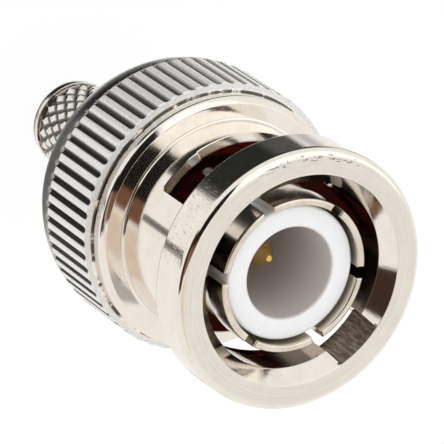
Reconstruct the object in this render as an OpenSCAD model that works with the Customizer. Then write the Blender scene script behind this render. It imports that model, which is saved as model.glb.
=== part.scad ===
// BNC cable plug, crimp type, with a sprung bayonet coupling nut.
// The plug stands on the end of its crimp stem: the origin is the centre of that end,
// and +Z runs along the axis of the plug towards the mating face.
// Lengths named "at" are depths measured back from the mating face of the nut.

/* [Overall] */
// Length from the end of the crimp stem to the mating face of the nut
overall_len = 25; // [23:0.1:32]
// Turn of the coupling nut about the axis, as it was left
nut_turn = -12.5; // [-180:0.5:180]
// Radial gap between parts that turn or slide on each other
run_gap = 0.06; // [0.02:0.01:0.1]
// Radial gap between parts that are only pushed together
seat_gap = 0.03; // [0.01:0.01:0.06]
// Gap left between faces that meet end to end and move
face_gap = 0.03; // [0.02:0.01:0.06]

/* [Coupling nut: outside] */
// Diameter of the front flange
flange_d = 13.8; // [13:0.1:15]
// Thickness of the front flange
flange_t = 2.4; // [1.6:0.1:3]
// Rounding of the front edge of the flange
flange_round = 0.42; // [0.1:0.02:0.7]
// Rounding of the rear edge of the flange
flange_back_round = 0.12; // [0.05:0.01:0.3]
// Wall of the neck that carries the bayonet slots
neck_wall = 0.67; // [0.55:0.01:0.9]
// Depth of the step at the rear end of the neck
step_at = 8.3; // [7.6:0.1:9]
// Diameter of the plain band behind the step
band_d = 13.6; // [13:0.1:14]
// Width of the plain band
band_w = 0.97; // [0.5:0.01:1.5]
// Rounding of the corners of the plain band
band_round = 0.1; // [0.04:0.01:0.2]
// Diameter over the ribs of the knurled grip
knurl_d = 14.5; // [14.2:0.1:16]
// Length of the ribs
knurl_len = 4.08; // [3:0.01:6]
// Number of ribs
knurl_count = 61; // [40:1:72]
// Turn from the entry groove to the first groove between ribs
knurl_turn = 3.2; // [0:0.1:6]
// Depth of the grooves between the ribs
knurl_depth = 0.26; // [0.1:0.01:0.32]
// Width of each groove at its top
knurl_groove_w = 0.42; // [0.2:0.01:0.5]
// Length of the chamfer at the front ends of the ribs
knurl_chamfer = 0.14; // [0.1:0.02:0.6]
// Step down from the ribs to the domed rear end
dome_drop = 0.04; // [0.02:0.01:0.15]
// Radius of the domed rear end
dome_r = 4.4; // [3:0.1:5]
// Lean of the dome where it meets the ribs
dome_lean = 5; // [0:0.5:8]
// Length of the domed rear end
dome_len = 2.15; // [1.4:0.05:2.3]

/* [Coupling nut: inside] */
// Radial gap between the bore that takes the jack and the seat flange
bore_gap = 0.13; // [0.06:0.01:0.2]
// Depth of the chamfer at the mouth of the bore
mouth_depth = 0.82; // [0.4:0.02:1.2]
// Radial depth of the relief that widens the bore behind the flange
bore_relief = 0.17; // [0.16:0.01:0.2]
// Depth of the front end of the relief
relief_at = 2.6; // [2.5:0.05:2.9]
// Depth of the rear end of the relief
relief_end_at = 9.4; // [9:0.05:9.6]
// Thickness of the inner web that turns on the spool
web_t = 1; // [0.7:0.05:1.4]
// Radial room round the retaining ring in the recess behind the web
ring_room = 0.6; // [0.2:0.05:0.9]
// Chamfer at the rear edge of the recess
recess_chamfer = 0.25; // [0.1:0.05:0.4]

/* [Bayonet slots] */
// Width of the entry grooves
entry_w = 2.6; // [2.3:0.05:3]
// Depth of the entry grooves below the bore
entry_depth = 0.64; // [0.52:0.02:0.66]
// Depth of the rear wall of the pocket that a lug enters
pocket_at = 6.32; // [5.8:0.01:6.4]
// Diameter of the round detent at the end of each slot
detent_d = 2.24; // [2.1:0.02:2.4]
// Depth of the centre of the detent
detent_at = 5.3; // [5.1:0.05:5.8]
// Turn from the entry groove to the detent
detent_turn = 90; // [80:1:96]
// Depth of the front wall of the ramp beside the pocket
ramp_start_at = 2.95; // [2.7:0.05:3.4]
// Depth of the front wall of the ramp beside the detent
ramp_end_at = 4.42; // [4.2:0.02:4.6]

/* [Outer contact] */
// Radial gap between the front insulator and the spring fingers
finger_gap = 0.14; // [0.08:0.01:0.18]
// Wall of the slotted sleeve at the contact ring
contact_wall = 0.38; // [0.3:0.01:0.42]
// Depth of the front end of the sleeve
contact_at = 0.7; // [0.3:0.05:1.2]
// Length of the raised contact ring
contact_band = 1.6; // [1:0.1:2.5]
// Step down from the contact ring to the sleeve behind it
contact_relief = 0.17; // [0.16:0.01:0.2]
// Rounding of the front corners of the contact ring
contact_round = 0.12; // [0.06:0.01:0.15]
// Number of spring slots
slot_count = 6; // [4:1:8]
// Width of the spring slots
slot_w = 0.56; // [0.4:0.02:0.8]
// Length of the spring slots
slot_len = 6.4; // [5:0.1:7.5]
// Wall of the spool that the nut turns on, round the front insulator
spool_wall = 0.42; // [0.36:0.01:0.6]
// Height of the seat flange above the spool
seat_rim = 0.8; // [0.7:0.05:1]
// Thickness of the seat flange
seat_t = 0.9; // [0.7:0.05:1.3]
// Wall of the spigot that is pressed into the rear body
spigot_wall = 0.52; // [0.4:0.02:0.7]
// Length of the spigot
spigot_len = 1.7; // [1.2:0.1:2.2]

/* [Gasket, washers and ring] */
// Depth of the front face of the gasket
gasket_at = 9.9; // [9.6:0.05:10.2]
// Thickness of the gasket
gasket_t = 0.7; // [0.5:0.05:0.9]
// Height of the wave washer at rest
wave_h = 0.72; // [0.6:0.02:0.9]
// Thickness of the wave washer strip
wave_t = 0.18; // [0.12:0.01:0.24]
// Width of the wave washer strip
wave_w = 0.6; // [0.4:0.05:0.68]
// Number of waves round the washer
wave_count = 3; // [2:1:4]
// Thickness of the thrust washer
thrust_t = 0.3; // [0.2:0.05:0.5]
// How far the retaining ring stands out of the spool
ring_stand = 0.7; // [0.5:0.05:0.8]
// Thickness of the retaining ring
ring_t = 0.5; // [0.4:0.05:0.6]
// Depth of the groove that holds the retaining ring
ring_groove = 0.3; // [0.2:0.05:0.4]
// Opening angle of the retaining ring
ring_gap = 50; // [30:5:80]

/* [Insulators] */
// Diameter of the front insulator
insulator_d = 7.1; // [6.9:0.02:7.2]
// Depth of the front end of the front insulator
insulator_at = 1.15; // [0.9:0.05:1.6]
// Diameter of the socket in the front insulator
socket_d = 4.82; // [4.6:0.02:5]
// Depth of the floor of that socket
socket_at = 8.8; // [8:0.1:9.4]
// Depth of the rear end of the front insulator
insulator_end_at = 12.2; // [11.8:0.1:12.6]
// Diameter of the rear insulator
bead_d = 5.3; // [5:0.05:5.4]

/* [Centre contact] */
// Diameter of the pin
pin_d = 1.35; // [1.3:0.01:1.4]
// Depth of the tip of the pin
pin_at = 3.2; // [2.2:0.1:3.6]
// Length of the cone at the tip
pin_cone = 0.85; // [0.5:0.05:1.2]
// Diameter of the flat end of the cone
pin_tip_d = 0.34; // [0.2:0.02:0.5]
// Diameter of the shank between the pin and its collar
shank_d = 1.7; // [1.68:0.01:1.8]
// Diameter of the collar that locates the pin
collar_d = 2.4; // [2.2:0.05:2.6]
// Length of the collar
collar_len = 0.8; // [0.5:0.05:1.2]
// Depth of the front face of the collar
collar_at = 10; // [9.7:0.1:10.6]
// Diameter of the crimp barrel behind the collar
barrel_d = 1.8; // [1.6:0.05:2]
// Diameter of the hole for the inner conductor
wire_d = 0.95; // [0.8:0.05:1.2]
// Depth of the hole for the inner conductor
wire_hole_len = 4; // [3:0.1:4.5]
// Diameter of the inspection hole across the barrel
peep_d = 0.5; // [0.4:0.05:0.7]

/* [Rear body and crimp stem] */
// Step up from the spool to the hub behind it
hub_step = 0.2; // [0.05:0.05:0.4]
// Length of the hub
hub_len = 2.9; // [2.6:0.1:4]
// Rounding of the rear corner of the hub
hub_round = 0.3; // [0.1:0.05:0.4]
// Diameter over the diamond knurl of the stem
stem_d = 4.9; // [4.6:0.05:5.4]
// Diameter of the bore of the stem
stem_bore_d = 3.1; // [2.8:0.05:3.3]
// Depth of the diamond knurl
diamond_depth = 0.24; // [0.1:0.02:0.3]
// Number of diamonds round the stem
diamond_count = 20; // [14:1:24]
// Length of one diamond along the stem
diamond_len = 1; // [0.8:0.05:1.4]
// Diameter of the plain tip at the end of the stem
tip_d = 4.76; // [4.5:0.02:4.9]
// Length of the plain tip
tip_len = 0.8; // [0.75:0.05:1.2]
// Rounding of the end of the tip
tip_round = 0.55; // [0.1:0.05:0.6]
// Diameter of the chamber round the end of the centre contact
chamber_d = 4.2; // [3.4:0.1:4.8]

/* [Hidden] */
$fn = 96;
small_fn = 32;       // facets of small round shapes
wave_steps = 24;     // steps round the washer for each wave
cut = 0.5;           // how far a cutting shape runs past the surface it cuts
bite = 0.05;         // how far joined shapes of one piece run into each other
corner_break = 0.1;  // rounding of plain turned corners
spool_land = 0.17;   // land of the spool behind the groove of the retaining ring
shank_show = 0.1;    // how far the shank stands out of the floor of the socket
barrel_show = 0.6;   // how far the crimp barrel stands out of the rear insulator
chamber_room = 0.2;  // room left behind the end of the crimp barrel
ramp_margin = 10;    // degrees from the entry and from the detent to the ends of the ramp

// Radii from the inside out, each from what it holds
insulator_seat_r = insulator_d / 2 + seat_gap;
sleeve_bore_r = insulator_d / 2 + finger_gap;
contact_r = sleeve_bore_r + contact_wall;
sleeve_r = contact_r - contact_relief;
spool_r = insulator_seat_r + spool_wall;
seat_r = spool_r + seat_rim;
nut_bore_r = seat_r + bore_gap;
entry_floor_r = nut_bore_r + entry_depth;
neck_r = nut_bore_r + neck_wall;
web_bore_r = spool_r + run_gap;
ring_groove_r = spool_r - ring_groove;
ring_r = spool_r + ring_stand;
recess_r = ring_r + ring_room;
hub_r = spool_r + hub_step;
bead_bore_r = bead_d / 2 + seat_gap;
spigot_r = bead_bore_r + spigot_wall;
collar_hole_r = collar_d / 2 + seat_gap;
shank_hole_r = shank_d / 2 + seat_gap;
barrel_hole_r = barrel_d / 2 + seat_gap;

// The stack of parts behind the gasket, front to back
seat_at = gasket_at + gasket_t;
seat_end_at = seat_at + seat_t;
thrust_at = seat_end_at + wave_h + face_gap;
web_at = thrust_at + thrust_t + face_gap;
ring_at = web_at + web_t + face_gap;
groove_w = ring_t + 2 * face_gap;
spool_end_at = ring_at + ring_t + face_gap + spool_land;
hub_end_at = spool_end_at + hub_len;
spigot_end_at = spool_end_at + spigot_len;
bead_end_at = spigot_end_at;
shank_at = socket_at - shank_show;
contact_end_at = bead_end_at + barrel_show;
chamber_end_at = contact_end_at + chamber_room;
slot_end_at = contact_at + slot_len;

// The nut, front to back
knurl_at = step_at + band_w;
dome_at = knurl_at + knurl_len;
nut_end_at = dome_at + dome_len;
dome_centre = knurl_d / 2 - dome_drop - dome_r * cos(dome_lean);
dome_centre_at = dome_at - dome_r * sin(dome_lean);
knurl_root_r = knurl_d / 2 - knurl_depth;
ramp_back_at = detent_at + detent_d / 2;

// The diamond knurl
diamond_rows = 2 * floor((overall_len - hub_end_at - tip_len) / diamond_len);
row_h = (overall_len - hub_end_at - tip_len + bite) / diamond_rows;
stem_root_r = stem_d / 2 - diamond_depth;

// Height of a depth measured from the mating face
function up(depth) = overall_len - depth;

// A solid of revolution between two depths
module bar(r, front, back) {
    translate([0, 0, up(back)]) cylinder(r = r, h = back - front);
}

// The same with its two outer corners rounded
module round_bar(r, front, back, front_round, back_round) {
    rotate_extrude() {
        translate([0, up(back) + back_round]) square([r, back - front - front_round - back_round]);
        translate([0, up(back)]) square([r - back_round, back - front]);
        translate([0, up(front) - front_round - bite]) square([r - front_round, front_round + bite]);
        intersection() {
            union() {
                translate([r - back_round, up(back) + back_round]) circle(r = back_round, $fn = small_fn);
                translate([r - front_round, up(front) - front_round]) circle(r = front_round, $fn = small_fn);
            }
            translate([0, up(back)]) square([r, back - front]);
        }
    }
}

// A plain flat ring between two depths
module flat_ring(outer, inner, front, back) {
    difference() {
        bar(outer, front, back);
        bar(inner, front - cut, back + cut);
    }
}

// ---- Coupling nut ----

// Rib outline: a groove bottom, then the two ends of a rib's flat top
module rib_outline() {
    pitch = 360 / knurl_count;
    half_groove = knurl_groove_w / knurl_d * 180 / PI;
    polygon([for (i = [0 : knurl_count - 1]) for (p = [[0, knurl_root_r],
            [half_groove, knurl_d / 2], [pitch - half_groove, knurl_d / 2]])
        p[1] * [cos(i * pitch + p[0]), sin(i * pitch + p[0])]]);
}

module knurled_grip() {
    intersection() {
        translate([0, 0, up(dome_at)]) rotate([0, 0, knurl_turn]) linear_extrude(knurl_len) rib_outline();
        rotate_extrude() polygon([
            [0, up(dome_at) - cut], [knurl_d, up(dome_at) - cut],
            [knurl_d / 2 + cut, up(knurl_at) - knurl_chamfer * (1 + cut / (knurl_d - band_d) * 2)],
            [band_d / 2, up(knurl_at)], [0, up(knurl_at)]]);
    }
}

module domed_end() {
    rotate_extrude() intersection() {
        union() {
            translate([dome_centre, up(dome_centre_at)]) circle(r = dome_r);
            translate([0, up(nut_end_at)]) square([dome_centre, dome_len + bite]);
        }
        translate([0, up(nut_end_at)]) square([knurl_d, dome_len]);
    }
}

module nut_outside() {
    round_bar(flange_d / 2, 0, flange_t, flange_round, flange_back_round);
    bar(neck_r, flange_t - bite, step_at + bite);
    round_bar(band_d / 2, step_at, knurl_at + band_round + bite, band_round, band_round);
    knurled_grip();
    domed_end();
}

module nut_bores() {
    bar(nut_bore_r, -cut, web_at);
    bar(nut_bore_r + bore_relief, relief_at, relief_end_at);
    bar(web_bore_r, web_at - cut, nut_end_at);
    bar(recess_r, web_at + web_t, nut_end_at + cut);
    translate([0, 0, up(mouth_depth)])
        cylinder(r1 = nut_bore_r, r2 = entry_floor_r, h = mouth_depth);
    translate([0, 0, up(-cut)]) mirror([0, 0, 1]) cylinder(r = entry_floor_r, h = cut);
    translate([0, 0, up(nut_end_at)])
        cylinder(r1 = recess_r + recess_chamfer, r2 = recess_r, h = recess_chamfer);
}

// The ring of space that the ramp of one slot sweeps, from the entry round to the detent
module ramp_sector() {
    rotate([0, 0, -90 - detent_turn]) translate([0, 0, up(ramp_back_at)])
        rotate_extrude(angle = detent_turn) translate([nut_bore_r - cut, 0])
            square([neck_wall + 2 * cut, ramp_back_at - flange_t]);
}

// Everything behind the sloping front wall of the ramp
module behind_ramp() {
    rise = ramp_end_at - ramp_start_at;
    side = 8 * neck_r;
    slope = atan(rise / (2 * sin(detent_turn / 2 - ramp_margin) * neck_r));
    rotate([0, 0, -90 - detent_turn / 2]) translate([0, 0, up((ramp_start_at + ramp_end_at) / 2)])
        rotate([slope, 0, 0]) translate([-side / 2, -side / 2, -side]) cube([side, side, side]);
}

// One slot: entry groove inside the bore, pocket through the neck, ramp and round detent
module bayonet_slot() {
    intersection() {
        bar(entry_floor_r, -cut, pocket_at);
        translate([-entry_w / 2, -neck_r - cut, up(pocket_at)]) cube([entry_w, neck_r, pocket_at + cut]);
    }
    translate([-entry_w / 2, -neck_r - cut, up(pocket_at)])
        cube([entry_w, neck_wall + 2 * cut, pocket_at - flange_t]);
    intersection() {
        ramp_sector();
        behind_ramp();
    }
    rotate([0, 0, -detent_turn]) translate([0, -nut_bore_r + cut, up(detent_at)])
        rotate([90, 0, 0]) cylinder(d = detent_d, h = neck_wall + 2 * cut);
}

module coupling_nut() {
    color("#d9d5cc") rotate([0, 0, nut_turn]) difference() {
        nut_outside();
        nut_bores();
        for (turn = [0, 180]) rotate([0, 0, turn]) bayonet_slot();
    }
}

// ---- Outer contact ----

module spring_slots() {
    for (i = [0 : slot_count - 1]) rotate([0, 0, i * 360 / slot_count]) {
        translate([sleeve_bore_r - cut, -slot_w / 2, up(slot_end_at)])
            cube([contact_wall + 2 * cut, slot_w, slot_len + cut]);
        translate([sleeve_bore_r - cut, 0, up(slot_end_at)]) rotate([0, 90, 0])
            cylinder(d = slot_w, h = contact_wall + 2 * cut, $fn = small_fn);
    }
}

module outer_contact() {
    color("#cfcac0") difference() {
        union() {
            round_bar(contact_r, contact_at, contact_at + contact_band, contact_round, contact_relief);
            bar(sleeve_r, contact_at + contact_band - bite, seat_at + bite);
            round_bar(seat_r, seat_at, seat_end_at, corner_break, corner_break);
            bar(spool_r, seat_end_at - bite, spool_end_at);
            bar(spigot_r, spool_end_at - bite, spigot_end_at);
        }
        bar(sleeve_bore_r, contact_at - cut, slot_end_at + slot_w);
        bar(insulator_seat_r, slot_end_at, insulator_end_at);
        bar(bead_bore_r, insulator_end_at - cut, spigot_end_at + cut);
        flat_ring(spool_r + cut, ring_groove_r, ring_at - face_gap, ring_at - face_gap + groove_w);
        spring_slots();
    }
}

// ---- Insulators ----

module front_insulator() {
    color("#f4f5f6") difference() {
        round_bar(insulator_d / 2, insulator_at, insulator_end_at, corner_break, corner_break);
        bar(socket_d / 2, insulator_at - cut, socket_at);
        bar(shank_hole_r, socket_at - cut, insulator_end_at);
        bar(collar_hole_r, collar_at, insulator_end_at + cut);
    }
}

// A bead with a nose that reaches in and holds the collar of the centre contact
module rear_insulator() {
    color("#eceded") difference() {
        union() {
            bar(bead_d / 2, insulator_end_at, bead_end_at);
            bar(collar_d / 2, collar_at + collar_len + face_gap, insulator_end_at + bite);
        }
        bar(barrel_hole_r, collar_at, bead_end_at + cut);
    }
}

// ---- Centre contact ----

module centre_contact() {
    color("#d8ae4a") difference() {
        union() {
            bar(pin_d / 2, pin_at + pin_cone, shank_at + bite);
            bar(shank_d / 2, shank_at, collar_at + bite);
            translate([0, 0, up(pin_at + pin_cone)])
                cylinder(d1 = pin_d, d2 = pin_tip_d, h = pin_cone);
            bar(collar_d / 2, collar_at, collar_at + collar_len);
            bar(barrel_d / 2, collar_at + collar_len - bite, contact_end_at);
        }
        bar(wire_d / 2, contact_end_at - wire_hole_len, contact_end_at + cut);
        translate([0, 0, up(contact_end_at - wire_hole_len + peep_d)]) rotate([90, 0, 0])
            cylinder(d = peep_d, h = barrel_d, $fn = small_fn);
    }
}

// ---- Gasket, washers and ring ----

module gasket() {
    color("#5e1410") flat_ring(seat_r, sleeve_r + seat_gap, gasket_at, seat_at);
}

// A flat strip bent into waves round the spool
module wave_washer() {
    steps = wave_steps * wave_count;
    swing = (wave_h - wave_t) / 2;
    middle = up(seat_end_at + wave_h / 2 + face_gap / 2);
    function level(i) = middle + swing * cos(360 * wave_count * i / steps);
    function ring_at_step(i) = [for (p = [[web_bore_r, -1], [web_bore_r + wave_w, -1], [web_bore_r + wave_w, 1], [web_bore_r, 1]])
        [p[0] * cos(360 * i / steps), p[0] * sin(360 * i / steps), level(i) + p[1] * wave_t / 2]];
    color("#b9b9b6") polyhedron(
        points = [for (i = [0 : steps - 1]) each ring_at_step(i)],
        faces = [for (i = [0 : steps - 1]) for (k = [0 : 3])
            let (a = 4 * i + k, b = 4 * i + (k + 1) % 4, n = 4 * ((i + 1) % steps))
            each [[a, n + k, b], [b, n + k, n + (k + 1) % 4]]]);
}

module thrust_washer() {
    color("#c9c5bb") flat_ring(nut_bore_r - run_gap, web_bore_r, thrust_at, thrust_at + thrust_t);
}

module retaining_ring() {
    color("#a8a49b") difference() {
        flat_ring(ring_r, ring_groove_r + seat_gap, ring_at, ring_at + ring_t);
        translate([0, 0, up(ring_at + ring_t) - cut]) rotate([0, 0, 90 - ring_gap / 2])
            rotate_extrude(angle = ring_gap) square([ring_r + cut, ring_t + 2 * cut]);
    }
}

// ---- Rear body with its crimp stem ----

// Radius of one corner of the diamond pattern: low where two grooves cross, high on a point
function corner_r(row, j) =
    row == 0 || row == diamond_rows ? stem_root_r : (row + j) % 2 == 0 ? stem_root_r : stem_d / 2;

module diamond_knurl() {
    n = 2 * diamond_count;
    polyhedron(
        points = [for (row = [0 : diamond_rows]) for (j = [0 : n - 1])
            let (a = j * 360 / n, r = corner_r(row, j)) [r * cos(a), r * sin(a), tip_len - bite + row * row_h]],
        faces = [
            [for (j = [0 : n - 1]) j],
            [for (j = [n - 1 : -1 : 0]) diamond_rows * n + j],
            for (row = [0 : diamond_rows - 1]) for (j = [0 : n - 1])
                let (a = row * n + j, b = row * n + (j + 1) % n)
                each (row + j) % 2 == 0
                    ? [[a, a + n, b + n], [a, b + n, b]]
                    : [[a, a + n, b], [b, a + n, b + n]]]);
}

module rear_body() {
    color("#d2cfc8") difference() {
        union() {
            round_bar(hub_r, spool_end_at, hub_end_at, corner_break, hub_round);
            diamond_knurl();
            round_bar(tip_d / 2, overall_len - tip_len, overall_len, corner_break / 2, tip_round);
        }
        bar(spigot_r, spool_end_at - cut, spigot_end_at);
        bar(chamber_d / 2, spigot_end_at - cut, chamber_end_at);
        bar(stem_bore_d / 2, spool_end_at, overall_len + cut);
    }
}

coupling_nut();
outer_contact();
front_insulator();
centre_contact();
rear_insulator();
gasket();
wave_washer();
thrust_washer();
retaining_ring();
rear_body();
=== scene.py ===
# %% [markdown]
# # A coaxial cable plug, dressed for its picture
# The plug was built as solids in a CAD program and packed as a fixed frame. This lesson keeps that
# frame, so every size and joint stays true, and gives each piece the edges and finish of the real
# thing. We start by loading the frame and measuring it, because all places below come from it.

# %% Load the frame
import math

import bmesh
import bpy
from mathutils import Matrix, Vector, noise


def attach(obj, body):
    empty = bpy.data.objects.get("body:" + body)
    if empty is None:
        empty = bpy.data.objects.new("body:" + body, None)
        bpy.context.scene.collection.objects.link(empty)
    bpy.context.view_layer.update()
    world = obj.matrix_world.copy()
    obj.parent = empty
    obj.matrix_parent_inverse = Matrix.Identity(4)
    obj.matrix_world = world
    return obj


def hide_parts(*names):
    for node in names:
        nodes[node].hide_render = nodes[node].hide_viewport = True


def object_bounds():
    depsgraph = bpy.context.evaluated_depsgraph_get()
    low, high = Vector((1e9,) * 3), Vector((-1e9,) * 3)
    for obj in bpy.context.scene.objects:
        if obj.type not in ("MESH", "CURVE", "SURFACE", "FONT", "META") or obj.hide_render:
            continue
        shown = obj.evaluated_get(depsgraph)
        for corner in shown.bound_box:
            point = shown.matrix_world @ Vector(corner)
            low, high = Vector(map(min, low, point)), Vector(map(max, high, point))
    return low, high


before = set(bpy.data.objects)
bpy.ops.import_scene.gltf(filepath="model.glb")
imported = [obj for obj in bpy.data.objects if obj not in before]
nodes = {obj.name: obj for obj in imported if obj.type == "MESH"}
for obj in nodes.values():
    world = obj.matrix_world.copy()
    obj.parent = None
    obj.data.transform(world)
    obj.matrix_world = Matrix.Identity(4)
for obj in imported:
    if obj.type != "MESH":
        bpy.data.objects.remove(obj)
cad_low, cad_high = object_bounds()
face_z = cad_high.z
MM = 0.001
print("nodes:", ", ".join(sorted(nodes)))
print("length", round((cad_high.z - cad_low.z) / MM, 2), "mm, mating face up at", round(face_z / MM, 2), "mm")

# %% [markdown]
# ## Camera
# The plug stands on its crimp stem and is seen from its mating face, a little over half way up.
# A long lens keeps the circles nearly parallel, as a product picture does. The camera is also rolled,
# which lays the plug across the picture while it stays upright in its own frame.

# %% Camera
azimuth, elevation, roll = math.radians(-1.5), math.radians(53.79), math.radians(124.75)
lens, distance = 362.6, 220.6 * MM
aside, below = 3.925 * MM, 2.919 * MM

back = Vector((math.sin(azimuth) * math.cos(elevation),
               -math.cos(azimuth) * math.cos(elevation), math.sin(elevation)))
turned = back.to_track_quat("Z", "Y").to_matrix() @ Matrix.Rotation(roll, 3, "Z")
right, up = turned.col[0], turned.col[1]

camera_data = bpy.data.cameras.new("camera")
camera_data.sensor_width, camera_data.lens = 36, lens
camera_data.clip_start, camera_data.clip_end = 0.01, 10
camera = bpy.data.objects.new("camera", camera_data)
bpy.context.scene.collection.objects.link(camera)
bpy.context.scene.camera = camera
mating_face = Vector((0, 0, face_z))
camera.matrix_world = Matrix.Translation(mating_face + distance * back - aside * right + below * up) @ turned.to_4x4()
print("the plug's axis leans", round(90 - math.degrees(elevation), 2), "degrees from the line of sight")

# %% [markdown]
# ## A small language for materials
# A finish is a sum of noises, masks and colours. Written node by node that is long and hard to read,
# so one class wraps a socket and lets Python's operators add the Math nodes. Everything else comes from
# one method, which takes a node's type, its settings and the values or links of its sockets.

# %% Values and paints
class Value:
    """A number inside a material. Arithmetic on it adds Math nodes."""

    def __init__(self, paint, socket):
        self.paint, self.socket = paint, socket

    def math(self, operation, *others):
        return self.paint.node("ShaderNodeMath", {"operation": operation}, [self, *others])

    def __add__(self, other):
        return self.math("ADD", other)

    def __sub__(self, other):
        return self.math("SUBTRACT", other)

    def __mul__(self, other):
        return self.math("MULTIPLY", other)

    def __truediv__(self, other):
        return self.math("DIVIDE", other)

    def __rsub__(self, other):
        return self * -1 + other

    __radd__ = __add__
    __rmul__ = __mul__

    def step(self, low, high):
        """0 below low, 1 above high, and a smooth rise between them."""
        if low > high:
            return 1 - self.step(high, low)
        return self.paint.node("ShaderNodeMapRange", {"interpolation_type": "SMOOTHSTEP"},
                               {"Value": self, "From Min": low, "From Max": high})

    def band(self, low, high, soft):
        """1 between low and high, and 0 outside, with soft edges."""
        return self.step(low - soft, low) * self.step(high + soft, high)


class Paint:
    """A node tree that nodes are added to by one method."""

    def __init__(self, tree):
        self.tree = tree

    def node(self, kind, settings=None, inputs=(), output=0):
        made = self.tree.nodes.new(kind)
        for name, setting in (settings or {}).items():
            setattr(made, name, setting)
        for key, value in (inputs.items() if isinstance(inputs, dict) else enumerate(inputs)):
            if isinstance(value, Value):
                self.tree.links.new(value.socket, made.inputs[key])
            else:
                made.inputs[key].default_value = value
        return Value(self, made.outputs[output]) if len(made.outputs) else made

    def mix(self, factor, first, second):
        """A colour between two colours."""
        return self.node("ShaderNodeMix", {"data_type": "RGBA"}, {0: factor, 6: first, 7: second}, 2)

    def noise(self, at, scale, detail=2.0, rough=0.5):
        return self.node("ShaderNodeTexNoise", {}, {"Vector": at, "Scale": scale, "Detail": detail,
                                                    "Roughness": rough})

    def join(self, x, y, z):
        return self.node("ShaderNodeCombineXYZ", {}, [x, y, z])


class Finish(Paint):
    """A material with one Principled shader, in millimetres on the plug's own coordinates."""

    def __init__(self, name, metallic=0.0, **constants):
        self.material = bpy.data.materials.new(name)
        self.material.use_nodes = True
        super().__init__(self.material.node_tree)
        self.shader = self.tree.nodes["Principled BSDF"]
        self.shader.inputs["Metallic"].default_value = metallic
        for socket, value in constants.items():
            self.shader.inputs[socket.replace("_", " ")].default_value = value
        place = self.node("ShaderNodeTexCoord", {}, (), "Object")
        self.at = self.node("ShaderNodeVectorMath", {"operation": "SCALE"}, {0: place, "Scale": 1 / MM})
        self.x, self.y, self.z = (self.node("ShaderNodeSeparateXYZ", {}, [self.at], i) for i in range(3))
        self.depth = face_z / MM - self.z
        self.radius = (self.x * self.x + self.y * self.y).math("SQRT")
        self.angle = self.y.math("ARCTAN2", self.x)

    def set(self, socket, value):
        self.tree.links.new(value.socket, self.shader.inputs[socket])

    def bump(self, height, strength, distance=0.01):
        """Height in hundredths of a millimetre, as a dent or rise of the surface."""
        self.set("Normal", self.node("ShaderNodeBump", {}, {"Height": height, "Strength": strength,
                                                            "Distance": distance * MM}))


print("materials are written as sums of", Value.__name__, "objects")

# %% [markdown]
# ## Turned metal, plated with nickel
# All metal pieces were turned on a lathe and then plated. The tool leaves fine rings that follow the
# axis, and the plating softens them and adds a faint mottle. Noise on radius, depth and a little angle
# gives the rings, and plain noise gives the mottle. Only roughness, colour and bump change.

# %% Turned nickel
def turned_nickel(name, tint, shade, rough, ring_height, mottle=1.0):
    f = Finish(name, metallic=1.0)
    rings = f.noise(f.join(f.radius * 9, f.angle * 1.3, f.depth * 9), 1.0, 3.0, 0.6)
    fine = f.noise(f.join(f.radius * 34, f.angle * 2.5, f.depth * 34), 1.0, 2.0, 0.6)
    cloud = f.noise(f.at, 1.1, 4.0, 0.6)
    grain = f.noise(f.at, 14.0, 3.0, 0.7)
    f.set("Base Color", f.mix(cloud.step(0.3, 0.75), tint, shade))
    f.set("Roughness", (cloud - 0.5) * 0.12 * mottle + (grain - 0.5) * 0.14 * mottle
          + (rings - 0.5) * 0.06 + rough)
    f.bump(rings + fine * 0.7 + grain * 0.35, ring_height)
    return f


contact_nickel = turned_nickel("contact_nickel", (0.78, 0.72, 0.64, 1), (0.66, 0.59, 0.5, 1), 0.17, 0.08)
stem_nickel = turned_nickel("stem_nickel", (0.86, 0.83, 0.78, 1), (0.79, 0.75, 0.7, 1), 0.2, 0.05)
# Painted shade: the low ground between the knurl's diamonds, along the stem, is painted near black.
knurl_groove_shade = stem_nickel.depth.band(17.3, 24.1, 0.1) * stem_nickel.radius.step(2.31, 2.25)
bright = stem_nickel.shader.inputs["Base Color"].links[0].from_socket
stem_nickel.set("Base Color", stem_nickel.mix(knurl_groove_shade * 0.85, Value(stem_nickel, bright), (0.03, 0.028, 0.025, 1)))
washer_nickel = turned_nickel("washer_nickel", (0.78, 0.73, 0.66, 1), (0.7, 0.65, 0.58, 1), 0.28, 0.05)
spring_steel = turned_nickel("spring_steel", (0.6, 0.59, 0.57, 1), (0.5, 0.49, 0.47, 1), 0.3, 0.04)
print("four turned metals")

# %% [markdown]
# The nut is the same metal, seen large, with pits, chips and scratches as real wear. Shade is painted
# into its colour: near black in the rib grooves and the gap before the ribs, darker on the dome, and dark brown in
# the bore and in the broached entry grooves, with streaks along the axis. Masks come from radius, angle and depth.

# %% Nut finish
rib_count, first_groove, entry_angle = 61, math.radians(-103.74), math.radians(-102.5)


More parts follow.
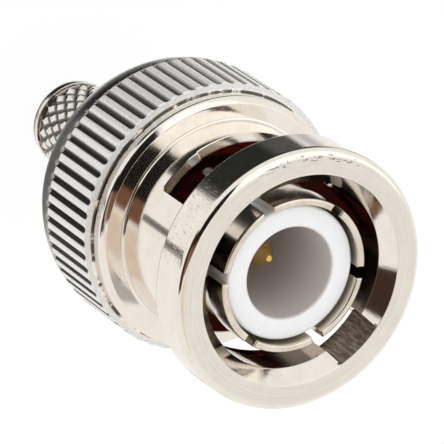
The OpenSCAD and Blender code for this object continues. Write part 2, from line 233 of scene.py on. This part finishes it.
def nut_finish(name):
    f = Finish(name)
    rings = f.noise(f.join(f.radius * 9, f.angle * 1.3, f.depth * 9), 1.0, 3.0, 0.6)
    streak = f.noise(f.join(f.angle * 40, f.radius * 3, f.depth * 1.2), 1.0, 3.0, 0.65)
    cloud = f.noise(f.at, 1.1, 4.0, 0.6)
    peel = f.noise(f.at, 5.5, 2.0, 0.5)
    grain = f.noise(f.at, 16.0, 2.0, 0.7)
    in_ribs = f.depth.band(9.3, 13.45, 0.02) * f.radius.step(6.85, 6.95)
    dome = f.depth.step(13.36, 13.5)
    turn = ((f.angle - first_groove) * (rib_count / math.tau) + 100).math("FRACT")
    groove = f.radius.step(7.245, 7.2) * in_ribs * f.depth.step(9.33, 9.42)
    shaded_flank = turn.band(-0.1, 0.27, 0.04) * groove
    half_shaded_flank = turn.band(0.73, 1.1, 0.02) * groove
    shade_line = turn.band(0.86, 1.1, 0.03) * groove
    inside = f.radius.step(5.2, 5.12) * f.depth.step(0.84, 0.9)
    face = f.depth.step(0.03, 0.01)
    hit = (f.angle - math.radians(-146)).math("COSINE").step(0.86, 0.97)
    speck = f.noise(f.join(f.angle * 14, f.radius * 9, f.depth * 9), 1.0, 3.0, 0.7)
    chips = speck.step(0.56, 0.6) * hit * f.radius.band(6.3, 6.62, 0.05) * f.depth.step(0.2, 0.1)
    scratch = f.noise(f.join(f.angle * 90, f.radius, f.depth * 2.2), 1.0, 2.0, 0.6)
    rubbed = (f.angle - math.radians(-98)).math("COSINE").step(0.8, 0.95)
    scored = scratch.step(0.58, 0.66) * f.depth.band(0.3, 2.3, 0.2) * f.radius.step(6.8, 6.85) * rubbed
    ribbed = in_ribs * f.depth.step(9.42, 9.5)
    pits = f.noise(f.at, 7.0, 4.0, 0.75).step(0.66, 0.7)
    crevice_shade = f.depth.band(9.24, 9.31, 0.02) * f.radius.step(6.93, 6.87) * cloud.step(0.4, 0.5)
    entry = ((f.angle - entry_angle) * 2).math("COSINE")
    broached = entry.step(0.86, 0.88) * f.radius.band(5.45, 5.62, 0.02) * f.depth.band(0.06, 2.5, 0.05)
    tint = f.mix(cloud.step(0.3, 0.75), (0.87, 0.83, 0.77, 1), (0.82, 0.775, 0.715, 1))
    tint = f.mix(in_ribs, tint, f.mix(grain.step(0.35, 0.65), (0.74, 0.73, 0.71, 1), (0.99, 0.98, 0.96, 1)))
    # Painted shade: the bore wall inside the nut is painted dark brown.
    tint = f.mix(inside * 0.7, tint, (0.3, 0.24, 0.19, 1))
    tint = f.mix(face * (rings.step(0.3, 0.7) * 0.1 + 0.1), tint, (0.3, 0.29, 0.27, 1))
    tint = f.mix((chips * 0.9 + pits * 0.35 + scored * 0.25).math("MINIMUM", 1), tint, (0.06, 0.05, 0.045, 1))
    # Painted shade: the dome is painted darker grey, in a cloudy pattern.
    tint = f.mix(dome * (cloud.step(0.3, 0.7) * 0.25 + 0.6), tint, (0.2, 0.195, 0.19, 1))
    # Painted shade: the rib grooves are painted near black on one flank and dark on the other, and the gap before the
    # ribs near black.
    tint = f.mix(half_shaded_flank * 0.7, tint, (0.22, 0.21, 0.2, 1))
    tint = f.mix((shaded_flank + shade_line * 0.7 + crevice_shade * 0.9).math("MINIMUM", 1), tint, (0.02, 0.018, 0.016, 1))
    # Painted shade: the floors of the entry grooves are painted dark brown, with streaks along the axis.
    tint = f.mix(broached * (streak.step(0.35, 0.6) * 0.15 + 0.8), tint, (0.06, 0.042, 0.03, 1))
    f.set("Base Color", tint)
    f.set("Metallic", in_ribs * -0.75 + 1)
    f.set("Roughness", scored * 0.2 + face * 0.06 + (cloud - 0.5) * 0.08 + (grain - 0.5) * 0.06 + in_ribs * 0.25 + dome * 0.15 + 0.09)
    f.bump(rings * (face * 1.5 + 0.6) + peel * 1.4 + streak * ribbed * 2 + grain * (ribbed * 2 + 0.2)
           - chips * 6 - scored, 0.08)
    return f


nut_nickel = nut_finish("nut_nickel")
print("nut finish with", len(nut_nickel.tree.nodes), "nodes")

# %% [markdown]
# ## Insulator, gold and rubber
# The insulator is a white fluoropolymer: soft, slightly waxy and a little translucent, with faint tool
# rings. The pin is gold plate, and the gasket dark red silicone rubber.

# %% Insulator white
white = Finish("insulator_white", Subsurface_Weight=0.3, Subsurface_Scale=0.0006,
               Subsurface_Radius=(1.0, 1.0, 1.0), IOR=1.38)
cloud = white.noise(white.at, 1.5, 3.0)
rings = white.noise(white.join(white.radius * 14, white.angle * 1.2, white.depth * 14), 1.0, 2.0)
face_white = white.mix(cloud.step(0.3, 0.7), (0.97, 0.975, 0.985, 1), (0.94, 0.95, 0.965, 1))
# Painted shade: the socket's bore wall is painted grey-brown.
white.set("Base Color", white.mix(white.radius.step(2.55, 2.42), face_white, (0.7, 0.655, 0.635, 1)))
white.set("Roughness", (rings - 0.5) * 0.1 + 0.38)
white.bump(rings, 0.06)

# %% Gold plate
gold = Finish("contact_gold", metallic=1.0)
rings = gold.noise(gold.join(gold.radius * 20, gold.angle * 1.5, gold.depth * 20), 1.0, 2.0)
gold.set("Base Color", gold.mix(rings.step(0.35, 0.7), (0.8, 0.55, 0.17, 1), (0.62, 0.4, 0.1, 1)))
gold.set("Roughness", (rings - 0.5) * 0.1 + 0.2)
gold.bump(rings, 0.08)

# %% Gasket rubber
rubber = Finish("gasket_red", IOR=1.45)
grain = rubber.noise(rubber.at, 9.0, 3.0)
rubber.set("Base Color", rubber.mix(grain, (0.42, 0.03, 0.018, 1), (0.3, 0.02, 0.012, 1)))
rubber.set("Roughness", (grain - 0.5) * 0.2 + 0.45)
rubber.bump(grain, 0.15)
print("insulator, gold and rubber")

# %% [markdown]
# ## Outlines for the lathe
# A turned part is one outline spun round the axis. Real corners are never sharp: a small radius on each
# is what catches the light. So an outline is a list of corners, (radius, depth, rounding), and a
# function turns each rounding into an arc that meets both sides.

# %% Rounded outlines
def arc_corner(before, corner, after, rounding, pieces):
    """Points of an arc that rounds one corner of an outline."""
    a, b = (before - corner).normalized(), (after - corner).normalized()
    half = a.angle(b) / 2
    reach = rounding / math.tan(half)
    centre = corner + (a + b).normalized() * (rounding / math.sin(half))
    start, end = corner + a * reach - centre, corner + b * reach - centre
    sweep = start.angle_signed(end)
    return [centre + Matrix.Rotation(-sweep * i / pieces, 2) @ start for i in range(pieces + 1)]


def rounded(outline, pieces=4):
    """An outline of (x, y, rounding) corners in millimetres as points, with an arc at each rounding."""
    corners = [Vector(c[:2]) for c in outline]
    points = []
    for i, (_, _, rounding) in enumerate(outline):
        before, corner, after = corners[i - 1], corners[i], corners[(i + 1) % len(corners)]
        points += arc_corner(before, corner, after, rounding, pieces) if rounding else [corner]
    return points


print("a square's corner of radius 1 has", len(arc_corner(Vector((0, 1)), Vector((0, 0)), Vector((1, 0)), 0.2, 4)),
      "points")

# %% [markdown]
# ## The lathe
# bmesh has the lathe built in: spin turns an outline round an axis and merges the last step with the
# first. An outline that starts and ends on the axis stays open, because its ends close by themselves.

# %% Lathe
def supported(points, closed, inset=0.05):
    """Add a point just inside each end of a long side, so smooth shading stays flat between them."""
    result = []
    for start, end in zip(points, points[1:] + points[:1]):
        result.append(start)
        step = (end - start).normalized() * inset
        if (end - start).length > 0.3 and (closed or end != points[0]):
            result += [start + step, end - step]
    return result


def lathe(outline, steps, pieces=4, closed=True):
    """Spin an outline of (radius, depth, rounding) corners round the plug's axis."""
    bm = bmesh.new()
    points = supported(rounded(outline, pieces), closed)
    ring = [bm.verts.new((p.x * MM, 0, face_z - p.y * MM)) for p in points]
    edges = [bm.edges.new((ring[i - 1], ring[i])) for i in range(0 if closed else 1, len(ring))]
    bmesh.ops.spin(bm, geom=ring + edges, cent=(0, 0, 0), axis=(0, 0, 1), angle=math.tau, steps=steps,
                   use_merge=True)
    bmesh.ops.remove_doubles(bm, verts=bm.verts, dist=1e-4 * MM)
    bmesh.ops.recalc_face_normals(bm, faces=bm.faces)
    return bm


def cylindrical(vert):
    """Radius, angle and depth of a vertex, in millimetres and radians."""
    return Vector(vert.co[:2]).length / MM, math.atan2(vert.co.y, vert.co.x), (face_z - vert.co.z) / MM


def place(radius, angle, depth):
    return Vector((radius * math.cos(angle), radius * math.sin(angle), face_z / MM - depth)) * MM


def as_object(name, bm):
    mesh = bpy.data.meshes.new(name)
    bm.to_mesh(mesh)
    bm.free()
    thing = bpy.data.objects.new(name, mesh)
    bpy.context.scene.collection.objects.link(thing)
    return thing


def finish_piece(piece, finish, body, replaced, sharp=35):
    """Smooth shading up to an angle, a finish, and what the frame has to know."""
    mesh = piece.data
    mesh.materials.clear()
    mesh.materials.append(finish.material)
    mesh.shade_smooth()
    mesh.set_sharp_from_angle(angle=math.radians(sharp))
    weighted = piece.modifiers.new("even_normals", "WEIGHTED_NORMAL")
    weighted.keep_sharp = True
    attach(piece, body)
    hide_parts(replaced)
    print(piece.name, "has", len(mesh.polygons), "faces")


# %% [markdown]
# ## Cutting slots
# The lathe can't make a slot, so slots are cut by a Boolean with a closed cutter. The cutter starts as a
# flat outline, is extruded to a few levels and sliced into strips, and is then laid on the round wall.
# A last level that grows outwards leaves the small bevel that a deburred edge has.

# %% Slot cutters
def grown(outline, by):
    """An outline with each side moved out by a distance, and its roundings with it."""
    corners = [Vector(c[:2]) for c in outline]
    area = sum(corners[i - 1].cross(corners[i]) for i in range(len(corners)))
    result = []
    for i, (_, _, rounding) in enumerate(outline):
        a = (corners[i - 1] - corners[i]).normalized()
        b = (corners[(i + 1) % len(corners)] - corners[i]).normalized()
        convex = (-a).cross(b) * area > 0
        half = a.angle(b) / 2
        away = (a + b).normalized() if (a + b).length > 1e-6 else Vector((0, 0))
        if away.length == 0:
            side = Vector((b.y, -b.x)) * (1 if area > 0 else -1)
            moved = corners[i] + side * by
        else:
            moved = corners[i] - away * (by / math.sin(half)) * (1 if convex else -1)
        radius = max(rounding + (by if convex else -by), 0.01) if rounding else 0
        result.append((moved.x, moved.y, radius))
    return result


def cutter(outline, levels, lay, strip=0.12, pieces=6):
    """A closed cutter: outline on the unrolled wall, levels of (radius, growth), and how it is laid."""
    bm = bmesh.new()
    loop = rounded(grown(outline, levels[0][1]), pieces)
    face = bm.faces.new([bm.verts.new((p.x, p.y, levels[0][0])) for p in loop])
    for level, (radius, growth) in enumerate(levels[1:]):
        under = face
        made = bmesh.ops.extrude_face_region(bm, geom=[under])["geom"]
        face = next(g for g in made if isinstance(g, bmesh.types.BMFace))
        if level and under.is_valid:
            bmesh.ops.delete(bm, geom=[under], context="FACES_ONLY")
        next_loop = rounded(grown(outline, growth), pieces)
        for vert in face.verts:
            nearest = min(range(len(loop)), key=lambda i: (loop[i] - vert.co.xy).length)
            vert.co = (*next_loop[nearest], radius)
        loop = next_loop
    bmesh.ops.triangulate(bm, faces=[f for f in bm.faces if len(f.verts) > 4])
    low, high = min(p.x for p in loop) - 1, max(p.x for p in loop) + 1
    for i in range(1, int((high - low) / strip)):
        bmesh.ops.bisect_plane(bm, geom=bm.verts[:] + bm.edges[:] + bm.faces[:], dist=1e-5,
                               plane_co=(low + i * strip, 0, 0), plane_no=(1, 0, 0))
    for vert in bm.verts:
        vert.co = lay(*vert.co)
    bmesh.ops.recalc_face_normals(bm, faces=bm.faces)
    if bm.calc_volume(signed=True) < 0:
        bmesh.ops.reverse_faces(bm, faces=bm.faces)
    print("cutter with", len(bm.faces), "faces, open edges:", sum(not e.is_manifold for e in bm.edges))
    return bm


def laid_round(middle, wall_radius):
    """Lay a cutter round the wall: lengths along it become angles, towards falling azimuth."""
    return lambda along, depth, radius: place(radius, middle - along / wall_radius, depth)


def laid_straight(middle):
    """Lay a cutter with parallel sides against the wall."""
    def lay(along, depth, radius):
        return place(radius, middle - math.asin(along / radius), depth)
    return lay


def cut_away(piece, cutters):
    """Subtract closed cutters from a piece with an exact Boolean, and keep only its result."""
    tools = [as_object(piece.name + "_cutter", bm) for bm in cutters]
    for tool in tools:
        modifier = piece.modifiers.new("cut", "BOOLEAN")
        modifier.operation, modifier.solver, modifier.object = "DIFFERENCE", "EXACT", tool
    evaluated = piece.evaluated_get(bpy.context.evaluated_depsgraph_get())
    result = bpy.data.meshes.new_from_object(evaluated)
    piece.modifiers.clear()
    piece.data = result
    for tool in tools:
        bpy.data.objects.remove(tool)
    print(piece.name, "after", len(cutters), "cuts has", len(result.polygons), "faces")


# %% [markdown]
# ## The coupling nut: outside
# On the real plug this is one turned piece: flange, neck, plain band, ribbed grip and domed back. It is
# spun from one outline, with eight steps to each rib of the grip.

# %% Nut outline
bore_r, relief_r, neck_r, entry_floor_r = 4.93, 5.1, 5.6, 5.57
knurl_r, knurl_root_r, knurl_at, dome_at, dome_end = 7.25, 6.99, 9.27, 13.35, 15.5
dome_r, dome_lean = 4.4, math.radians(5)
nut_outline = [(bore_r, 0.82, 0.04), (5.57, 0, 0.04), (6.9, 0, 0.42), (6.9, 2.4, 0.12), (neck_r, 2.4, 0.06),
               *[(neck_r, 2.6 + 0.4 * i, 0) for i in range(14)], (neck_r, 8.27, 0.14), (6.5, 8.3, 0.05),
               (6.8, 8.56, 0.2), (6.8, knurl_at, 0.02), (knurl_root_r, knurl_at + 0.03, 0), (7.2, knurl_at + 0.06, 0),
               (knurl_r, knurl_at + 0.12, 0), (knurl_r, knurl_at + 0.22, 0), (knurl_r, knurl_at + 0.34, 0),
               (knurl_r, 13.2, 0), (knurl_r, dome_at, 0)]
dome_rows = 16
last_lean = math.asin((dome_end - dome_at) / dome_r + math.sin(dome_lean))
for i in range(dome_rows + 1):
    lean = dome_lean + (last_lean - dome_lean) * i / dome_rows
    nut_outline.append((knurl_r - 0.04 - dome_r * (math.cos(dome_lean) - math.cos(lean)),
                        dome_at + 0.04 + (dome_r * (math.sin(lean) - math.sin(dome_lean))) * 0.981,
                        0.1 if i == dome_rows else 0))
nut_outline += [(5.55, dome_end, 0.04), (5.3, 15.25, 0), (5.3, 13.58, 0.05), (4.06, 13.58, 0.05),
                (4.06, 12.58, 0.05), (bore_r, 12.58, 0.05), (bore_r, 9.6, 0.03), (relief_r, 9.4, 0.05)]
nut_outline += [(relief_r, 8.8 - 0.8 * i, 0) for i in range(8)] + [(relief_r, 2.8, 0.05), (bore_r, 2.6, 0.03)]
print("the nut's outline has", len(rounded(nut_outline)), "points")

# %% [markdown]
# The grooves between the ribs are pressed in by moving points. In each rib's eight columns two stand at
# the edges of a groove, so its sides stay straight and its edges crisp. The grooves run out where the
# dome begins, and small uneven burrs are left at their front ends, as a knurling wheel leaves them.

# %% Ribs
rib_columns = [(0, 1), (0.05, 0.86), (0.25, 0.07), (0.3, 0), (0.5, 0), (0.7, 0), (0.75, 0.07), (0.95, 0.86)]
steps = rib_count * len(rib_columns)
nut_mesh = lathe(nut_outline, steps)
for vert in nut_mesh.verts:
    radius, angle, depth = cylindrical(vert)
    rib, column = divmod(round(angle / math.tau * steps) % steps, len(rib_columns))
    across, groove = rib_columns[column]
    angle = first_groove + (rib + across) * math.tau / rib_count
    if radius > 6.85 and depth > knurl_at:
        fade = min(1, max(0, (13.62 - depth) / 0.24), max(0, (depth - 9.3) / 0.25))
        radius = min(radius, knurl_r - (knurl_r - knurl_root_r) * groove * fade)
        if depth < knurl_at + 0.3:
            burr = noise.noise(Vector((rib * 3.7, column * 1.9, radius)))
            depth -= 0.015 * burr
    vert.co = place(radius, angle, depth)
nut = as_object("nut_shell", nut_mesh)
print("ribs stand", round(math.tau * knurl_r / rib_count, 3), "mm apart")

# %% [markdown]
# ## The coupling nut: bayonet slots
# A lug of the jack enters by a groove inside the bore, passes under the flange into a pocket through the
# wall, and climbs a ramp to a round detent. Groove and slot are two cutters, and there are two of each.

# %% Bayonet slots
pocket_at, ramp_back, detent_at, detent_r = 6.32, 6.42, 5.3, 1.12
detent_along = math.pi / 2 * neck_r
detent = [(detent_along + detent_r * math.sin(t), detent_at - detent_r * math.cos(t), 0)
          for t in [math.radians(-46 + 226 * i / 24) for i in range(25)]]
slot_outline = [(-1.3, 2.43, 0.05), (1.3, 2.43, 0.05), (1.3, 3.02, 0.05), *detent, (1.32, ramp_back, 0.08),
                (1.26, pocket_at, 0.05), (-1.3, pocket_at, 0.22)]
slot_levels = [(4.5, 0.0), (5.565, 0.0), (5.625, 0.06)]
groove_outline = [(-1.3, -0.5, 0), (1.3, -0.5, 0), (1.3, pocket_at, 0.05), (-1.3, pocket_at, 0.05)]
cutters = []
for turn in (0, math.pi):
    cutters.append(cutter(slot_outline, slot_levels, laid_round(entry_angle + turn, neck_r)))
    cutters.append(cutter(groove_outline, [(4.2, 0), (entry_floor_r, 0)], laid_straight(entry_angle + turn)))
cut_away(nut, cutters)
finish_piece(nut, nut_nickel, "nut", "coupling_nut")

# %% [markdown]
# ## The outer contact
# A slotted sleeve inside the nut grips the jack. Its front is a raised contact ring, cut into six spring
# fingers whose corners are rounded by tumbling. Behind the gasket come the seat flange and the spool.

# %% Outer contact
sleeve_outline = [(3.69, 0.7, 0.1), (4.07, 0.7, 0.12), (4.07, 2.3, 0.08), (3.9, 2.5, 0.08), (3.9, 10.6, 0.05),
                  (4.8, 10.6, 0.08), (4.8, 11.5, 0.08), (4.0, 11.5, 0.05), (4.0, 13.58, 0.02), (3.7, 13.58, 0.02),
                  (3.7, 14.14, 0.02), (4.0, 14.14, 0.02), (4.0, 14.31, 0.03), (3.2, 14.31, 0.03), (3.2, 16.01, 0.04),
                  (2.68, 16.01, 0.04), (2.68, 12.2, 0.02), (3.58, 12.2, 0.02), (3.58, 7.66, 0.02), (3.69, 7.66, 0.02)]
finger_slot = [(-0.7, 0.3, 0), (0.7, 0.3, 0), (0.7, 0.69, 0), (0.28, 0.69, 0.15), (0.28, 7.38, 0.27),
               (-0.28, 7.38, 0.27), (-0.28, 0.69, 0.15), (-0.7, 0.69, 0)]
sleeve = as_object("contact_sleeve", lathe(sleeve_outline, 240))
cut_away(sleeve, [cutter(finger_slot, [(3.4, 0), (4.4, 0)], laid_straight(math.tau * i / 6)) for i in range(6)])
finish_piece(sleeve, contact_nickel, "plug_body", "outer_contact")

# %% [markdown]
# ## Front insulator and pin
# Both are plain turned pieces. The insulator's socket receives the jack's own centre, and the gold pin
# stands back inside it, with a cone at its tip.

# %% Front insulator
insulator_outline = [(2.41, 1.15, 0.12), (3.55, 1.15, 0.14), (3.55, 12.2, 0.1), (1.23, 12.2, 0.03), (1.23, 10, 0.02),
                     (0.88, 10, 0.02), (0.88, 8.8, 0.02), (2.41, 8.8, 0.1)]
insulator = as_object("insulator_front", lathe(insulator_outline, 192))
finish_piece(insulator, white, "plug_body", "front_insulator")

# %% Pin
pin_outline = [(0, 3.2, 0), (0.17, 3.2, 0.08), (0.675, 4.05, 0.25), (0.675, 8.7, 0.02), (0.85, 8.7, 0.03),
               (0.85, 10, 0.02), (1.2, 10, 0.04), (1.2, 10.8, 0.04), (0.9, 10.8, 0.02), (0.9, 16.61, 0.05),
               (0.475, 16.61, 0.05), (0.475, 12.61, 0.02), (0, 12.61, 0)]
pin = as_object("centre_pin", lathe(pin_outline, 96, closed=False))
finish_piece(pin, gold, "plug_body", "centre_contact")

# %% [markdown]
# ## The crimp stem
# The cable's braid is crimped on a stem with a diamond knurl. Only a hub, a plain tip and a tube come
# from the lathe. The knurl is a second, coarse spin in which every other point stays low: the low points
# are joined by edges, which are the grooves, and the high ones are bevelled to small flat tops.

# %% Crimp stem
hub_end, tip_at, tail_at = 17.21, 24.2, 25.0
stem_r, stem_root_r, diamond_count, diamond_rows = 2.45, 2.21, 20, 12
stem_outline = [(3.2, 14.31, 0.03), (4.2, 14.31, 0.08), (4.2, hub_end, 0.3), (2.15, hub_end, 0.05), (2.15, tip_at, 0.02),
                (2.38, tip_at, 0.04), (2.38, tail_at, 0.55), (1.55, tail_at, 0.06), (1.55, 16.81, 0.02),
                (2.1, 16.81, 0.02), (2.1, 16.01, 0.02), (3.2, 16.01, 0.02)]
stem_mesh = lathe(stem_outline, 160, 6)
row_height = (tip_at + 0.05 - hub_end) / diamond_rows
knurl_outline = [(1.9, hub_end - 0.1, 0)] + [(stem_r, hub_end + i * row_height, 0) for i in range(diamond_rows + 1)]
knurl = lathe(knurl_outline + [(1.9, tip_at + 0.15, 0)], 2 * diamond_count)
low_points, high_points = [], []
for vert in knurl.verts:
    radius, angle, depth = cylindrical(vert)
    if radius > 2:
        row, column = round((depth - hub_end) / row_height), round(angle / math.pi * diamond_count)
        low = row in (0, diamond_rows) or (row + column) % 2 == 0
        (low_points if low else high_points).append(vert)
        vert.co = place(stem_root_r if low else stem_r, angle, depth)
bmesh.ops.connect_verts(knurl, verts=low_points)
bmesh.ops.bevel(knurl, geom=high_points, offset=0.16 * MM, segments=1, profile=0.5, affect="VERTICES", material=-1)
bmesh.ops.recalc_face_normals(knurl, faces=knurl.faces)
knurl_data = bpy.data.meshes.new("knurl")
knurl.to_mesh(knurl_data)
knurl.free()
stem_mesh.from_mesh(knurl_data)
stem = as_object("crimp_stem", stem_mesh)
finish_piece(stem, stem_nickel, "plug_body", "rear_body", 20)

# %% [markdown]
# ## Pieces that keep their CAD shape
# The washers, the retaining ring, the gasket and the rear insulator are plain turned or bent shapes that
# are nearly hidden. Their CAD meshes are right as they are, and only get their finishes.

# %% Finishes for the CAD pieces
for name, finish in {"rear_insulator": white, "gasket": rubber, "wave_washer": spring_steel,
                     "thrust_washer": washer_nickel, "retaining_ring": spring_steel}.items():
    mesh = nodes[name].data
    mesh.materials.clear()
    mesh.materials.append(finish.material)
    print(name, "wears", finish.material.name)

# %% [markdown]
# ## Floor
# The plug stands on a pale floor. The camera sees it as plain white with a trace of the plug's shadow,
# and metal doesn't mirror it, because polished nickel would otherwise turn flat white from below.

# %% Floor
floor_mesh = bmesh.new()
bmesh.ops.create_grid(floor_mesh, x_segments=1, y_segments=1, size=0.6)
floor = as_object("floor", floor_mesh)
floor_material = bpy.data.materials.new("floor_white")
floor_material.use_nodes = True
floor_material.node_tree.nodes.clear()
paint = Paint(floor_material.node_tree)
seen = paint.node("ShaderNodeLightPath", {}, (), "Is Camera Ray")
lit = paint.node("ShaderNodeBsdfDiffuse", {}, {"Color": (0.85, 0.85, 0.85, 1)})
glow = paint.node("ShaderNodeEmission", {}, {"Color": (1, 1, 1, 1), "Strength": 1.06})
shown = paint.node("ShaderNodeMixShader", {}, [seen * 0.85, lit, glow])
paint.node("ShaderNodeOutputMaterial", {}, [shown])
floor.data.materials.append(floor_material)
floor.visible_glossy = False
print("floor", [round(v, 2) for v in floor.dimensions], "m")

# %% [markdown]
# ## Light
# Metal shows what surrounds it, so the surroundings are the real material here. The sky is a soft white
# tent for the metal with a few dark openings: one round the camera, one below on the upper left, and
# one straight under the plug. Each is a direction, a size and a tone.

# %% World
world = bpy.data.worlds.new("tent")
bpy.context.scene.world = world
world.use_nodes = True
sky = Paint(world.node_tree)
direction = sky.node("ShaderNodeTexCoord", {}, (), "Generated")
facing = Vector((math.sin(azimuth), -math.cos(azimuth), 0))
leftward = Vector((-math.cos(azimuth), -math.sin(azimuth), 0))
ahead = Vector((0, 0, 1))


def mirrored(around, tip=0):
    """Where a wall of the plug at an angle from the camera's side mirrors to, and a cone leaning by tip."""
    normal = (facing * math.cos(math.radians(around)) + leftward * math.sin(math.radians(around)))
    normal = normal * math.cos(math.radians(tip)) + ahead * math.sin(math.radians(tip))
    return 2 * back.dot(normal) * normal - back


def heading(turn, height):
    """A direction by its turn from the camera's side, leftward, and its height, in degrees."""
    turn, height = math.radians(turn), math.radians(height)
    return (facing * math.cos(turn) + leftward * math.sin(turn)) * math.cos(height) + ahead * math.sin(height)


east, north, up = (sky.node("ShaderNodeVectorMath", {"operation": "DOT_PRODUCT"}, {0: direction, 1: axis}, "Value")
                   for axis in (facing, leftward, ahead))
turn = north.math("ARCTAN2", east) * (180 / math.pi)
height = up.math("ARCSINE") * (180 / math.pi)
panels = [
    ((-200, 200), (-95, -68), 8, (0.22, 0.22, 0.215, 1)),
    ((36, 150), (30, 75), 8, (1.3, 1.3, 1.28, 1)),
    ((150, 172), (-75, -30), 8, (1.25, 1.28, 1.28, 1)),
    ((-180, -165), (-75, -35), 8, (0.55, 0.56, 0.56, 1)),
    ((115, 125), (-90, -30), 18, (0.4, 0.4, 0.39, 1)),
    ((13, 108), (-90, -30), 8, (0.09, 0.09, 0.083, 1)),
    ((22, 80), (-90, -36), 10, (0.025, 0.026, 0.023, 1)),
    ((-43, -36), (-66, -32), 2.5, (0.16, 0.15, 0.14, 1)),
    ((-110, -58), (38, 75), 7, (0.85, 0.76, 0.66, 1)),
    ((-50, -20), (38, 75), 5, (0.2, 0.095, 0.055, 1)),
    ((-26, 31), (30, 80), 3, (0.01, 0.008, 0.007, 1)),
    ((-56, -12), (4, 32), 5, (0.05, 0.026, 0.016, 1)),
]
tone = (0.98, 0.96, 0.93, 1)
for turns, heights, soft, shade in panels:
    inside = turn.band(turns[0] + soft / 2, turns[1] - soft / 2, soft)
    tone = sky.mix(inside * height.band(heights[0], heights[1], soft), tone, shade)
glossy_ray = sky.node("ShaderNodeLightPath", {}, (), "Is Glossy Ray")
camera_ray = sky.node("ShaderNodeLightPath", {}, (), "Is Camera Ray")
tone = sky.mix(glossy_ray, (0.98, 0.98, 0.98, 1), tone)
tone = sky.mix(camera_ray, tone, (1, 1, 1, 1))
world.node_tree.links.new(tone.socket, world.node_tree.nodes["Background"].inputs[0])

bpy.context.scene.view_settings.view_transform = "Standard"
print("panels of the tent:", len(panels))
